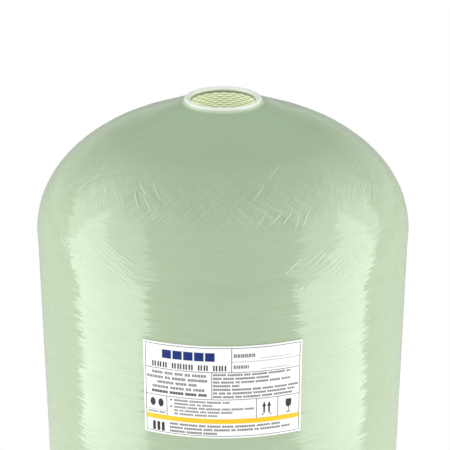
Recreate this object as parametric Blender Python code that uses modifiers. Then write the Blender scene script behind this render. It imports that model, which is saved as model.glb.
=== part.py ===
# Filter tank, 13 by 44 inches: a filament-wound vessel on a moulded foot.
#
# A one-piece plastic liner carries the water. Glass rovings in resin are wound over it, round the
# neck at the top and round a small boss at the bottom. The neck is a collar, whose flange is wound
# in under the glass, with a threaded bush held inside it. The vessel stands in a ribbed foot.
#
# Metres, +Z up. The origin is on the floor, on the tank's axis, and the label faces -Y.

import math

import bmesh
import bpy
from mathutils import Matrix, Vector

MM = 0.001

# Vessel, as measured over the winding
VESSEL_RADIUS = 167.0 * MM
VESSEL_HEIGHT = 1118.0 * MM  # 44 inches, from the bottom boss to the rim of the neck
DOME_RISE = 108.5 * MM  # each end is half an ellipse, this high on the vessel's radius
SHELL_WALL = 3.2 * MM
LINER_WALL = 3.5 * MM
FIT_GAP = 0.3 * MM  # left between pieces that are bonded or seated on each other

# The winding piles up towards the neck and the boss, which all the rovings turn round, so the
# dome is almost a cone there. A low belt stands where the last plies turn on the shoulder.
TURN_RISE = 6.6 * MM
TURN_REACH = 46.0 * MM
BELT_RISE = 0.4 * MM
BELT_HEIGHT = 12.0 * MM
CROWN_STEP = 5.75 * MM  # the last ring of points on a dome stands this far out from the turn

# Neck: everything outside the bore is a wall added to it
BORE_RADIUS = 29.0 * MM  # at the root of the thread
BUSH_WALL = 2.5 * MM
COLLAR_WALL = 2.4 * MM
NECK_STAND = 8.5 * MM  # rim of the neck above the crown of the dome's ellipse
NECK_DEPTH = 30.0 * MM  # rim to the end of the collar's tube
LIP_DEPTH = 4.4 * MM  # the collar's lip, which covers the top of the bush
LIP_RELIEF = 0.1 * MM  # the lip is this much wider than the thread's root
RIM_ROUND = 2.0 * MM  # both edges of the rim, with a flat land between them
FLARE_ROUND = 2.4 * MM  # hollow round, from the rim out to the winding
BUSH_FOOT = 3.2 * MM
THREAD_LEAD = 1.0 * MM  # chamfer at each end of the bush's bore
FLANGE_WIDTH = 22.0 * MM
FLANGE_WALL = 4.0 * MM
FLANGE_EDGE = 1.2 * MM
FLANGE_TAPER = 7.0 * MM

# Bottom boss of the liner, which turned the vessel while it was wound
BOSS_RADIUS = 22.0 * MM
BOSS_STAND = 8.0 * MM  # boss below the crown of the lower dome's ellipse
SPINDLE_RADIUS = 8.0 * MM
SPINDLE_DEPTH = 5.0 * MM

# Foot
FOOT_LIFT = 12.0 * MM  # floor to the bottom boss
SKIRT_WALL = 3.5 * MM
SKIRT_GAP = 0.8 * MM  # vessel's belt to the skirt, wider than the gap the ribs are trimmed to
SKIRT_OVERLAP = 16.0 * MM  # skirt above the vessel's lower shoulder
SKIRT_DRAFT = 1.2 * MM  # the skirt is this much wider at the floor
LIP_BEAD = 1.4 * MM
LIP_BEAD_HEIGHT = 6.0 * MM
TOE_WIDTH = 2.8 * MM
TOE_HEIGHT = 7.0 * MM
EDGE_ROUND = 1.2 * MM
RIB_COUNT = 12
RIB_WALL = 3.0 * MM
RIB_CLEARANCE = 3.0 * MM  # ribs and hub stop this far above the floor
HUB_RADIUS = 78.0 * MM
HUB_WALL = 3.5 * MM
DRAIN_COUNT = 4
DRAIN_RADIUS = 9.0 * MM
RIB_REACH = 4.0 * MM  # ribs above the vessel's lower shoulder

# Label, on the cylinder below the upper dome
LABEL_WIDTH = 133.7 * MM  # round the vessel
LABEL_HEIGHT = 85.9 * MM
LABEL_DROP = 158.3 * MM  # rim of the neck to the label's top edge
LABEL_WALL = 0.25 * MM
LABEL_STEPS = 16

# Facets
TURN_STEPS = 48
DOME_STEPS = 8
ROUND_STEPS = 3
DRAIN_STEPS = 20
MIN_STEP = 0.35  # least distance between two rings of points, as a part of the usual one
END_STEP = 2.0 * MM  # least distance to the ring where a surface ends

# Heights and radii that follow from the sizes above
RIM_Z = FOOT_LIFT + VESSEL_HEIGHT
UPPER_SHOULDER_Z = RIM_Z - NECK_STAND - DOME_RISE
LOWER_SHOULDER_Z = FOOT_LIFT + BOSS_STAND + DOME_RISE
BUSH_RADIUS = BORE_RADIUS + BUSH_WALL
SOCKET_RADIUS = BUSH_RADIUS + FIT_GAP
COLLAR_RADIUS = SOCKET_RADIUS + COLLAR_WALL
SEAT_RADIUS = COLLAR_RADIUS + FLARE_ROUND  # where the collar goes in under the winding
NECK_HOLE = SEAT_RADIUS + FIT_GAP
SLEEVE_BORE = COLLAR_RADIUS + FIT_GAP
SLEEVE_RADIUS = SLEEVE_BORE + LINER_WALL
BOSS_HOLE = BOSS_RADIUS + FIT_GAP
FLANGE_RADIUS = COLLAR_RADIUS + FLANGE_WIDTH
LINER_INSET = SHELL_WALL + FIT_GAP
CAVITY_INSET = LINER_INSET + LINER_WALL
SKIRT_BORE = VESSEL_RADIUS + BELT_RISE + SKIRT_GAP
SKIRT_TOP_Z = LOWER_SHOULDER_Z + SKIRT_OVERLAP

UPPER, LOWER = 1, -1


# The vessel's surfaces

def dome_point(end, angle, inset):
    # A point of a dome, as (radius, height). The angle runs from 0 at the shoulder to a quarter
    # turn at the crown, and the point is moved in from the dome's ellipse along its normal.
    normal = Vector((DOME_RISE * math.cos(angle), VESSEL_RADIUS * math.sin(angle))).normalized()
    radius = VESSEL_RADIUS * math.cos(angle) - inset * normal.x
    rise = DOME_RISE * math.sin(angle) - inset * normal.y
    shoulder = UPPER_SHOULDER_Z if end == UPPER else LOWER_SHOULDER_Z
    return radius, shoulder + end * rise


def dome_angle(end, radius, inset):
    # The angle at which a surface with this inset has the given radius, found by halving.
    low, high = 0.0, math.pi / 2
    for _ in range(40):
        middle = (low + high) / 2
        if dome_point(end, middle, inset)[0] > radius:
            low = middle
        else:
            high = middle
    return (low + high) / 2


def dome_at(end, radius, inset):
    return dome_point(end, dome_angle(end, radius, inset), inset)


def turn_radius(end):
    return NECK_HOLE if end == UPPER else BOSS_HOLE


def winding_rise(end, angle):
    # How far the outside of the winding stands above the plain ellipse.
    radius = VESSEL_RADIUS * math.cos(angle)
    near_turn = 1 - max(0.0, radius - turn_radius(end)) / TURN_REACH
    near_belt = 1 - DOME_RISE * math.sin(angle) / BELT_HEIGHT
    return TURN_RISE * max(0.0, near_turn) ** 2 + BELT_RISE * max(0.0, near_belt)


def stations(end):
    # The angles at which every wall of a dome has its points, so that the walls stay parallel.
    # The upper dome has two more, under the edge of the neck's flange.
    last = dome_angle(end, turn_radius(end) + CROWN_STEP, 0.0)
    angles = [last * step / DOME_STEPS for step in range(DOME_STEPS + 1)]
    if end == UPPER:
        edge = dome_angle(end, FLANGE_RADIUS + FIT_GAP, 0.0)
        taper = dome_angle(end, FLANGE_RADIUS - FLANGE_TAPER, 0.0)
        near = MIN_STEP * last / DOME_STEPS
        angles = [a for a in angles if abs(a - edge) > near and abs(a - taper) > near]
        angles += [edge, taper]
    return sorted(angles)


def wound_side(end, extra=0.0):
    # The outside of the winding over one dome, from the shoulder to the hole at the turn.
    points = [dome_point(end, a, -winding_rise(end, a) - extra) for a in stations(end)]
    top = winding_rise(end, dome_angle(end, turn_radius(end), 0.0))
    return points + [dome_at(end, turn_radius(end), -top - extra)]


def mandrel_side(end, inset, to_radius):
    # A smooth surface parallel to the ellipse, from the shoulder to the given radius.
    points = [dome_point(end, a, inset) for a in stations(end)]
    return [p for p in points if p[0] > to_radius + END_STEP] + [dome_at(end, to_radius, inset)]


# Blender helpers

def clear_scene():
    for old in list(bpy.data.objects):
        bpy.data.objects.remove(old, do_unlink=True)


def new_collection(name):
    collection = bpy.data.collections.new(name)
    bpy.context.scene.collection.children.link(collection)
    return collection


def new_material(name, colour, roughness, alpha=1.0):
    material = bpy.data.materials.new(name)
    material.use_nodes = True
    shader = material.node_tree.nodes["Principled BSDF"]
    shader.inputs["Base Color"].default_value = (*colour, 1.0)
    shader.inputs["Roughness"].default_value = roughness
    shader.inputs["Metallic"].default_value = 0.0
    shader.inputs["Alpha"].default_value = alpha
    material.diffuse_color = (*colour, alpha)
    return material


def add_object(name, mesh, collection, material=None):
    obj = bpy.data.objects.new(name, mesh)
    collection.objects.link(obj)
    if material:
        mesh.materials.clear()
        mesh.materials.append(material)
    return obj


def take_evaluated(obj):
    # The object's mesh becomes what its modifiers make of it.
    bpy.context.view_layer.update()
    graph = bpy.context.evaluated_depsgraph_get()
    mesh = bpy.data.meshes.new_from_object(obj.evaluated_get(graph))
    obj.modifiers.clear()
    obj.data = mesh
    return mesh


def shade_round(mesh):
    mesh.shade_smooth()
    mesh.set_sharp_from_angle(angle=math.radians(35))


def turned(name, profile, collection, material=None, closed=True):
    # Spins a profile about Z. It is a list of (radius, height) that runs down the outer side. A
    # closed one is a ring round the axis, and an open one starts and ends on the axis.
    mesh = bpy.data.meshes.new(name)
    edges = [(i, i + 1) for i in range(len(profile) - 1)]
    if closed:
        edges.append((len(profile) - 1, 0))
    mesh.from_pydata([(r, 0.0, z) for r, z in profile], edges, [])
    obj = add_object(name, mesh, collection)
    screw = obj.modifiers.new("spin", "SCREW")
    screw.axis = "Z"
    screw.angle = 2 * math.pi
    screw.steps = screw.render_steps = TURN_STEPS
    screw.use_merge_vertices = True
    screw.merge_threshold = 0.00001
    shade_round(take_evaluated(obj))
    if material:
        obj.data.materials.append(material)
    return obj


def arc(centre, radius, start, end, steps=ROUND_STEPS):
    # Points (radius, height) along an arc, angles in degrees from +radius towards +height.
    angles = [math.radians(start + (end - start) * i / steps) for i in range(steps + 1)]
    return [(centre[0] + radius * math.cos(a), centre[1] + radius * math.sin(a)) for a in angles]


def add_boolean(obj, other, operation):
    modifier = obj.modifiers.new(operation.lower(), "BOOLEAN")
    modifier.operation = operation
    modifier.object = other


def hide_helper(obj):
    obj.hide_render = True
    obj.display_type = "WIRE"
    return obj


# The pieces

def make_wound_shell(collection, material):
    # Outside, down from the neck to the bottom boss
    outside = list(reversed(wound_side(UPPER)))
    outside.append((VESSEL_RADIUS, UPPER_SHOULDER_Z - BELT_HEIGHT))
    outside.append((VESSEL_RADIUS, LOWER_SHOULDER_Z + BELT_HEIGHT))
    outside += wound_side(LOWER)

    # Inside, up again, with a recess for the collar's flange
    inside = list(reversed(mandrel_side(LOWER, SHELL_WALL, BOSS_HOLE)))
    over_flange = SHELL_WALL - FLANGE_WALL - FIT_GAP
    over_edge = SHELL_WALL - FLANGE_EDGE - FIT_GAP
    recess_edge = FLANGE_RADIUS + FIT_GAP
    inside += mandrel_side(UPPER, SHELL_WALL, recess_edge)
    inside.append(dome_at(UPPER, recess_edge, over_edge))
    inside.append(dome_at(UPPER, FLANGE_RADIUS - FLANGE_TAPER, over_flange))
    inside.append(dome_at(UPPER, NECK_HOLE, over_flange))
    return turned("wound_shell", outside + inside, collection, material)


def make_inner_liner(collection, material):
    # Inside, from the middle of the floor up to the end of the neck's sleeve
    sleeve_end = RIM_Z - NECK_DEPTH
    floor = dome_point(LOWER, math.pi / 2, CAVITY_INSET)[1]
    inside = [(0.0, floor)]
    inside += list(reversed(mandrel_side(LOWER, CAVITY_INSET, BOSS_RADIUS)))
    inside += mandrel_side(UPPER, CAVITY_INSET, SLEEVE_RADIUS)
    inside.append((SLEEVE_RADIUS, sleeve_end))

    # Outside, down from the sleeve to the boss and into the recess for the winding spindle
    outside = [(SLEEVE_BORE, sleeve_end)]
    outside += list(reversed(mandrel_side(UPPER, LINER_INSET, SLEEVE_BORE)))
    outside += mandrel_side(LOWER, LINER_INSET, BOSS_RADIUS)
    outside.append((BOSS_RADIUS, FOOT_LIFT))
    outside.append((SPINDLE_RADIUS, FOOT_LIFT))
    outside.append((SPINDLE_RADIUS, FOOT_LIFT + SPINDLE_DEPTH))
    outside.append((0.0, FOOT_LIFT + SPINDLE_DEPTH))
    return turned("inner_liner", inside + outside, collection, material, closed=False)


def make_neck_collar(collection, material):
    # The rounded rim and the flare below it, then the flange that the winding covers
    lip_radius = BORE_RADIUS + LIP_RELIEF
    round_z = RIM_Z - RIM_ROUND
    profile = arc((lip_radius + RIM_ROUND, round_z), RIM_ROUND, 180, 90)
    profile += arc((COLLAR_RADIUS - RIM_ROUND, round_z), RIM_ROUND, 90, 0)
    profile += arc((SEAT_RADIUS, round_z), FLARE_ROUND, 180, 270)[1:]
    flange_top = SHELL_WALL - FLANGE_WALL
    profile.append(dome_at(UPPER, SEAT_RADIUS, flange_top))
    profile.append(dome_at(UPPER, FLANGE_RADIUS - FLANGE_TAPER, flange_top))
    profile.append(dome_at(UPPER, FLANGE_RADIUS, SHELL_WALL - FLANGE_EDGE))

    # The flange's underside, which lies on the liner, and the tube below it
    profile.append(dome_at(UPPER, FLANGE_RADIUS, SHELL_WALL))
    profile.append(dome_at(UPPER, FLANGE_RADIUS - FLANGE_TAPER, SHELL_WALL))
    profile.append(dome_at(UPPER, COLLAR_RADIUS, SHELL_WALL))
    profile.append((COLLAR_RADIUS, RIM_Z - NECK_DEPTH))

    # Up the socket that holds the bush, to the lip over it
    profile.append((SOCKET_RADIUS, RIM_Z - NECK_DEPTH))
    profile.append((SOCKET_RADIUS, RIM_Z - LIP_DEPTH))
    profile.append((lip_radius, RIM_Z - LIP_DEPTH))
    return turned("neck_collar", profile, collection, material)


def make_threaded_bush(collection, material):
    # A tube in the collar's socket. Its foot closes off the ends of the collar and of the sleeve.
    top = RIM_Z - LIP_DEPTH - FIT_GAP
    shoulder = RIM_Z - NECK_DEPTH - FIT_GAP
    bottom = shoulder - BUSH_FOOT
    profile = [
        (BORE_RADIUS + THREAD_LEAD, top),
        (BUSH_RADIUS, top),
        (BUSH_RADIUS, shoulder),
        (SLEEVE_RADIUS, shoulder),
        (SLEEVE_RADIUS, bottom + EDGE_ROUND),
        (SLEEVE_RADIUS - EDGE_ROUND, bottom),
        (BORE_RADIUS + THREAD_LEAD, bottom),
        (BORE_RADIUS, bottom + THREAD_LEAD),
        (BORE_RADIUS, top - THREAD_LEAD),
    ]
    return turned("threaded_bush", profile, collection, material)


def foot_skirt(collection, material):
    # A drafted skirt with a thicker lip at the top and a toe that spreads on the floor
    top_radius = SKIRT_BORE + SKIRT_WALL
    floor_radius = top_radius + SKIRT_DRAFT
    lip_radius = top_radius + LIP_BEAD
    toe_radius = floor_radius + TOE_WIDTH
    lip_centre = (lip_radius - EDGE_ROUND, SKIRT_TOP_Z - EDGE_ROUND)
    profile = arc(lip_centre, EDGE_ROUND, 90, 0)
    profile.append((lip_radius, SKIRT_TOP_Z - LIP_BEAD_HEIGHT))
    profile.append((top_radius, SKIRT_TOP_Z - LIP_BEAD_HEIGHT - LIP_BEAD))
    profile.append((floor_radius, TOE_HEIGHT + TOE_WIDTH / 2))
    profile.append((toe_radius - EDGE_ROUND, TOE_HEIGHT))
    profile += arc((toe_radius - EDGE_ROUND, TOE_HEIGHT - EDGE_ROUND), EDGE_ROUND, 60, 0, 2)
    profile.append((toe_radius, EDGE_ROUND))
    profile.append((toe_radius - EDGE_ROUND, 0.0))
    profile.append((SKIRT_BORE + SKIRT_DRAFT, 0.0))
    profile.append((SKIRT_BORE, SKIRT_TOP_Z - LIP_BEAD_HEIGHT))
    profile.append((SKIRT_BORE, SKIRT_TOP_Z))
    return turned("foot", profile, collection, material)


def foot_hub(cutters):
    # A ring under the dome that ties the ribs together, made tall and trimmed to the dome
    bottom, top = RIB_CLEARANCE, LOWER_SHOULDER_Z
    inner, outer = HUB_RADIUS - HUB_WALL, HUB_RADIUS
    profile = [(inner, top), (outer, top), (outer, bottom), (inner, bottom)]
    hub = turned("foot_hub", profile, cutters)
    # Half a facet round, so that its edges don't run along those of the vessel's cutter
    hub.data.transform(Matrix.Rotation(math.pi / TURN_STEPS, 4, "Z"))
    return hide_helper(hub)


def foot_ribs(cutters):
    # Upright plates from the hub to the skirt, made tall and trimmed to the dome
    start = HUB_RADIUS - HUB_WALL / 2
    end = SKIRT_BORE + SKIRT_WALL / 2
    top = LOWER_SHOULDER_Z + RIB_REACH
    size = Vector((end - start, RIB_WALL, top - RIB_CLEARANCE))
    middle = Vector(((start + end) / 2, 0.0, (top + RIB_CLEARANCE) / 2))
    made = bmesh.new()
    for i in range(RIB_COUNT):
        place = Matrix.Rotation(2 * math.pi * i / RIB_COUNT, 4, "Z") @ Matrix.Translation(middle)
        bmesh.ops.create_cube(made, size=1.0, matrix=place @ Matrix.Diagonal((*size, 1.0)))
    mesh = bpy.data.meshes.new("foot_ribs")
    made.to_mesh(mesh)
    made.free()
    return hide_helper(add_object("foot_ribs", mesh, cutters))


def vessel_clearance(cutters):
    # The outside of the vessel's lower end, grown by the gap, to trim the ribs and the hub
    above = SKIRT_TOP_Z + SKIRT_OVERLAP
    side = VESSEL_RADIUS + FIT_GAP
    profile = [(0.0, above), (side, above), (side, LOWER_SHOULDER_Z + BELT_HEIGHT)]
    profile += wound_side(LOWER, extra=FIT_GAP)
    profile += [(BOSS_HOLE, FOOT_LIFT - FIT_GAP), (0.0, FOOT_LIFT - FIT_GAP)]
    return hide_helper(turned("vessel_clearance", profile, cutters, closed=False))


def foot_drains(cutters):
    # Half-round water ways through the bottom of the skirt, midway between two ribs
    reach = SKIRT_WALL + TOE_WIDTH + SKIRT_DRAFT
    middle = Vector((SKIRT_BORE + SKIRT_WALL / 2, 0.0, 0.0))
    lying = Matrix.Rotation(math.pi / 2, 4, "Y")
    made = bmesh.new()
    for i in range(DRAIN_COUNT):
        rib = round(RIB_COUNT * i / DRAIN_COUNT) + 0.5
        turn = Matrix.Rotation(2 * math.pi * rib / RIB_COUNT, 4, "Z")
        bmesh.ops.create_cone(
            made,
            cap_ends=True,
            segments=DRAIN_STEPS,
            radius1=DRAIN_RADIUS,
            radius2=DRAIN_RADIUS,
            depth=2 * reach,
            matrix=turn @ Matrix.Translation(middle) @ lying,
        )
    mesh = bpy.data.meshes.new("foot_drains")
    made.to_mesh(mesh)
    made.free()
    return hide_helper(add_object("foot_drains", mesh, cutters))


def make_foot(collection, cutters, material):
    foot = foot_skirt(collection, material)
    add_boolean(foot, foot_hub(cutters), "UNION")
    add_boolean(foot, foot_ribs(cutters), "UNION")
    add_boolean(foot, vessel_clearance(cutters), "DIFFERENCE")
    add_boolean(foot, foot_drains(cutters), "DIFFERENCE")
    return foot


def make_label(collection, material):
    # A flat grid rolled round the front of the cylinder, then given the sticker's thickness
    radius = VESSEL_RADIUS + FIT_GAP
    top = RIM_Z - LABEL_DROP
    made = bmesh.new()
    bmesh.ops.create_grid(made, x_segments=LABEL_STEPS, y_segments=1, size=0.5)
    for vertex in made.verts:
        angle = vertex.co.x * LABEL_WIDTH / radius - math.pi / 2
        height = top + (vertex.co.y - 0.5) * LABEL_HEIGHT
        vertex.co = (radius * math.cos(angle), radius * math.sin(angle), height)
    bmesh.ops.recalc_face_normals(made, faces=made.faces)
    outward = Vector((0.0, -1.0, 0.0))
    if sum((face.normal for face in made.faces), Vector()).dot(outward) < 0:
        bmesh.ops.reverse_faces(made, faces=made.faces)
    mesh = bpy.data.meshes.new("label")
    made.to_mesh(mesh)
    made.free()
    shade_round(mesh)
    label = add_object("label", mesh, collection, material)
    thicken = label.modifiers.new("thickness", "SOLIDIFY")
    thicken.thickness = LABEL_WALL
    thicken.offset = 1.0
    return label


def main():
    clear_scene()
    tank = new_collection("filter_tank")
    cutters = new_collection("cutters")
    glass = new_material("wound_glass_fibre", (0.42, 0.56, 0.38), 0.3)
    polythene = new_material("natural_polythene", (0.72, 0.76, 0.60), 0.5)
    collar = new_material("moulded_neck", (0.66, 0.74, 0.60), 0.35)
    bush = new_material("moulded_thread", (0.74, 0.80, 0.40), 0.4)
    foot = new_material("moulded_black", (0.02, 0.02, 0.02), 0.5)
    vinyl = new_material("white_vinyl", (0.90, 0.90, 0.89), 0.4)
    make_wound_shell(tank, glass)
    make_inner_liner(tank, polythene)
    make_neck_collar(tank, collar)
    make_threaded_bush(tank, bush)
    make_foot(tank, cutters, foot)
    make_label(tank, vinyl)


main()
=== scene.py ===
# Filter tank on its moulded foot: finishes, label, camera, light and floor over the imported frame.

import math
import random

import bpy
import numpy as np
from mathutils import Matrix, Vector


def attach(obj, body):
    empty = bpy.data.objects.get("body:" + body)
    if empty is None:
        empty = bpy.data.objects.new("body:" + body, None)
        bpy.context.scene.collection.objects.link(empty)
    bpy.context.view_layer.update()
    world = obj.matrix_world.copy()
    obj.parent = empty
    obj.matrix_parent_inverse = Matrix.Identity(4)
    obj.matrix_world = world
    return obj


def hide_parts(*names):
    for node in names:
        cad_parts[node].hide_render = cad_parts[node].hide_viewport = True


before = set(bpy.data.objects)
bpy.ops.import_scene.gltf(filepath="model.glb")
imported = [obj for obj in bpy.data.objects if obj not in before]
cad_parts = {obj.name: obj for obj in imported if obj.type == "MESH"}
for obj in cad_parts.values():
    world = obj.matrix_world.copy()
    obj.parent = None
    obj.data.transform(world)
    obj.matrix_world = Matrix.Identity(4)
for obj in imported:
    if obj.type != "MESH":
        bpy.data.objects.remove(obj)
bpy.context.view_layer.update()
print("frame loaded, nodes:", ", ".join(sorted(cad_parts)))


# Colours and nodes

def toLinear(hexColour):
    # sRGB hex to the linear values that Blender's sockets hold
    parts = [int(hexColour[i:i + 2], 16) / 255 for i in (1, 3, 5)]
    return (*[p / 12.92 if p <= 0.04045 else ((p + 0.055) / 1.055) ** 2.4 for p in parts], 1.0)


def setInputs(tree, node, inputs):
    # each input gets a value, a link from a socket, or a link from a node's first output in use
    for key, value in inputs.items():
        if isinstance(value, bpy.types.Node):
            value = next(output for output in value.outputs if output.enabled)
        if isinstance(value, bpy.types.NodeSocket):
            tree.links.new(value, node.inputs[key])
        else:
            node.inputs[key].default_value = value


def addNode(tree, kind, inputs=None, **settings):
    node = tree.nodes.new(kind)
    for name, value in settings.items():
        setattr(node, name, value)
    setInputs(tree, node, inputs or {})
    return node


def startMaterial(name, hexColour, roughness, ior):
    material = bpy.data.materials.new(name)
    material.use_nodes = True
    tree = material.node_tree
    shader = tree.nodes["Principled BSDF"]
    shader.inputs["Base Color"].default_value = toLinear(hexColour)
    shader.inputs["Roughness"].default_value = roughness
    shader.inputs["IOR"].default_value = ior
    material.diffuse_color = toLinear(hexColour)
    return material, tree, shader, addNode(tree, "ShaderNodeTexCoord").outputs["Object"]


def mottledColour(tree, place, scale, detail, first, second):
    # a soft noise between two colours, and the noise itself for a bump to follow
    noise = addNode(tree, "ShaderNodeTexNoise", {
        "Vector": place, "Scale": scale, "Detail": detail})
    colour = addNode(tree, "ShaderNodeMix", {
        "Factor": noise, "A": toLinear(first), "B": toLinear(second)}, data_type="RGBA")
    return colour, noise


# Modelling

def startPrimitive(name, add, **options):
    bpy.ops.object.select_all(action="DESELECT")
    add(**options)
    piece = bpy.context.object
    piece.name = name
    return piece


def drawProfile(name, points, closed):
    # a plane is merged to one point, and that point is drawn out along the profile in X and Z
    piece = startPrimitive(name, bpy.ops.mesh.primitive_plane_add, size=0.01)
    bpy.ops.object.mode_set(mode="EDIT")
    bpy.ops.mesh.merge(type="CENTER")
    bpy.ops.transform.translate(value=(points[0][0], 0, points[0][1]))
    for (r0, z0), (r1, z1) in zip(points, points[1:]):
        bpy.ops.mesh.extrude_vertices_move(
            TRANSFORM_OT_translate={"value": (r1 - r0, 0, z1 - z0)})
    if closed:  # the last point back to the first one
        bpy.ops.mesh.select_all(action="DESELECT")
        bpy.ops.object.mode_set(mode="OBJECT")
        piece.data.vertices[0].select = True
        piece.data.vertices[len(points) - 1].select = True
        bpy.ops.object.mode_set(mode="EDIT")
        bpy.ops.mesh.edge_face_add()
    bpy.ops.mesh.select_all(action="SELECT")
    return piece


def faceOutwards():
    # every face of the mesh in edit mode turned outwards, and back to object mode
    bpy.ops.mesh.select_all(action="SELECT")
    bpy.ops.mesh.normals_make_consistent(inside=False)
    bpy.ops.object.mode_set(mode="OBJECT")


def turnPiece(name, points, steps):
    # the profile spun round the tank's axis
    piece = drawProfile(name, points, True)
    bpy.ops.mesh.spin(steps=steps, angle=math.tau, center=(0, 0, 0), axis=(0, 0, 1))
    bpy.ops.mesh.select_all(action="SELECT")
    bpy.ops.mesh.remove_doubles(threshold=0.000002)
    faceOutwards()
    return piece


def arcPoints(centre, radius, start, end, steps):
    angles = [math.radians(start + (end - start) * i / steps) for i in range(steps + 1)]
    return [(centre[0] + radius * math.cos(a), centre[1] + radius * math.sin(a)) for a in angles]


def getPoints(piece):
    flat = np.empty(len(piece.data.vertices) * 3)
    piece.data.vertices.foreach_get("co", flat)
    return flat.reshape(-1, 3)


def setPoints(piece, points):
    piece.data.vertices.foreach_set("co", np.ascontiguousarray(points).ravel())
    piece.data.update()


def copyPiece(piece):
    # a copy with its own mesh
    copy = piece.copy()
    copy.data = piece.data.copy()
    bpy.context.scene.collection.objects.link(copy)
    return copy


def joinPieces(name, pieces):
    bpy.ops.object.select_all(action="DESELECT")
    for piece in pieces:
        piece.select_set(True)
    bpy.context.view_layer.objects.active = pieces[0]
    bpy.ops.object.join()
    pieces[0].name = name
    return pieces[0]


def dressPiece(piece, material, smoothAngle=None, instead=()):
    # material, shading, and its place in the frame
    piece.data.materials.clear()
    piece.data.materials.append(material)
    bpy.ops.object.select_all(action="DESELECT")
    piece.select_set(True)
    bpy.context.view_layer.objects.active = piece
    bpy.ops.object.transform_apply(location=True, rotation=True, scale=True)
    if smoothAngle is None:
        bpy.ops.object.shade_smooth()
    else:
        bpy.ops.object.shade_smooth_by_angle(angle=math.radians(smoothAngle))
    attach(piece, "root")
    if instead:
        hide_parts(*instead)


# The wound vessel

vessel = {
    "radius": 0.167,
    "domeRise": 0.1085,  # each end is half an ellipse
    "upperShoulder": 1.013,
    "lowerShoulder": 0.1285,
    "neckHole": 0.0369,
    "bossHole": 0.0223,
    "turnRise": 0.0066,  # the winding piles up where its rovings turn
    "turnReach": 0.046,
    "beltRise": 0.0004,
    "beltHeight": 0.012,
    "wall": 0.0032,
    "gap": 0.0003,  # left between pieces that are bonded or seated
    "flangeRadius": 0.0562,
    "flangeTaper": 0.007,
    "overFlange": -0.0011,  # inset of the inner wall over the collar's flange
    "overEdge": 0.0017,
    "steps": 440,
    "fineRow": 0.0022,  # rows on the upper dome and just below its shoulder
    "coarseRow": 0.015,
    "fineBelow": 0.06,
    "insideRow": 0.016,
    "lowRow": 0.012,
    "relief": (0.00006, 0.00004, 0.00007),  # steep bands, broad and fine, and the last ones
    "reliefFrom": 1.058,  # bands show above this height, where the hoops end
    "reliefOver": 0.015,
}


def domePoint(up, angle, lift):
    rise, radius = vessel["domeRise"], vessel["radius"]
    normal = Vector((rise * math.cos(angle), radius * math.sin(angle))).normalized()
    r = radius * math.cos(angle) + lift * normal.x
    z = rise * math.sin(angle) + lift * normal.y
    return (r, vessel["upperShoulder"] + z) if up else (r, vessel["lowerShoulder"] - z)


def windingLift(up, angle):
    hole = vessel["neckHole"] if up else vessel["bossHole"]
    radius = vessel["radius"] * math.cos(angle)
    nearTurn = max(0.0, 1 - max(0.0, radius - hole) / vessel["turnReach"])
    nearBelt = max(0.0, 1 - vessel["domeRise"] * math.sin(angle) / vessel["beltHeight"])
    return vessel["turnRise"] * nearTurn ** 2 + vessel["beltRise"] * nearBelt


def angleAt(radius):
    return math.acos(min(1.0, radius / vessel["radius"]))


def domeSide(up, hole, row, lift=None):
    # points from the hole out to the shoulder, a row's width apart
    last = angleAt(hole)
    fine = [last * (1 - i / 600) for i in range(601)]
    path = [domePoint(up, a, windingLift(up, a) if lift is None else lift) for a in fine]
    path[0] = (hole, path[0][1])
    along = np.cumsum([0] + [math.dist(p, q) for p, q in zip(path, path[1:])])
    marks = np.linspace(0, along[-1], max(2, round(along[-1] / row)) + 1)
    radii = np.interp(marks, along, [p[0] for p in path])
    heights = np.interp(marks, along, [p[1] for p in path])
    return list(zip(radii.tolist(), heights.tolist()))


def windingProfile():
    outer = domeSide(True, vessel["neckHole"], vessel["fineRow"])
    z = vessel["upperShoulder"] - vessel["beltHeight"]
    end = vessel["lowerShoulder"] + vessel["beltHeight"]
    while z > end:
        outer.append((vessel["radius"], z))
        isFine = z > vessel["upperShoulder"] - vessel["fineBelow"]
        z -= vessel["fineRow" if isFine else "coarseRow"]
    outer.append((vessel["radius"], end))
    outer += reversed(domeSide(False, vessel["bossHole"], vessel["lowRow"]))
    wall, row = vessel["wall"], vessel["insideRow"]
    inner = domeSide(False, vessel["bossHole"], row, lift=-wall)
    recess = vessel["flangeRadius"] + vessel["gap"]
    inner += reversed(domeSide(True, recess, row, lift=-wall))
    inner.append(domePoint(True, angleAt(recess), -vessel["overEdge"]))
    inner.append(domePoint(True, angleAt(vessel["flangeRadius"] - vessel["flangeTaper"]),
                           -vessel["overFlange"]))
    top = domePoint(True, angleAt(vessel["neckHole"]), -vessel["overFlange"])
    inner.append((vessel["neckHole"], top[1]))
    return outer, inner


outerSide, innerSide = windingProfile()
outerRadius = np.array([p[0] for p in outerSide])
outerHeight = np.array([p[1] for p in outerSide])
outerAlong = np.cumsum([0] + [math.dist(p, q) for p, q in zip(outerSide, outerSide[1:])])


def turnAngle(turn):
    # how far round the tank a roving has gone at each profile point, which turned at this radius
    slope = turn / (outerRadius * np.sqrt(np.maximum(outerRadius ** 2 - turn ** 2, 0.000012)))
    steps = np.diff(outerAlong) * (slope[1:] + slope[:-1]) / 2
    return np.concatenate([[0], np.cumsum(steps)])


plies = {
    "polarPlus": (0.0369, 1),  # steep rovings that turn at the neck
    "polarMinus": (0.0369, -1),
    "middlePlus": (0.072, 1),  # rovings that turn half way down the dome
    "middleMinus": (0.072, -1),
    "shoulderPlus": (0.102, 1),  # last rovings, that turn on the dome
    "shoulderMinus": (0.102, -1),
}


def surfaceAt(height):
    # radius, and distance from the neck along the outer side, at a height
    flip = slice(None, None, -1)
    return (np.interp(height, outerHeight[flip], outerRadius[flip]),
            np.interp(height, outerHeight[flip], outerAlong[flip]))


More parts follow.
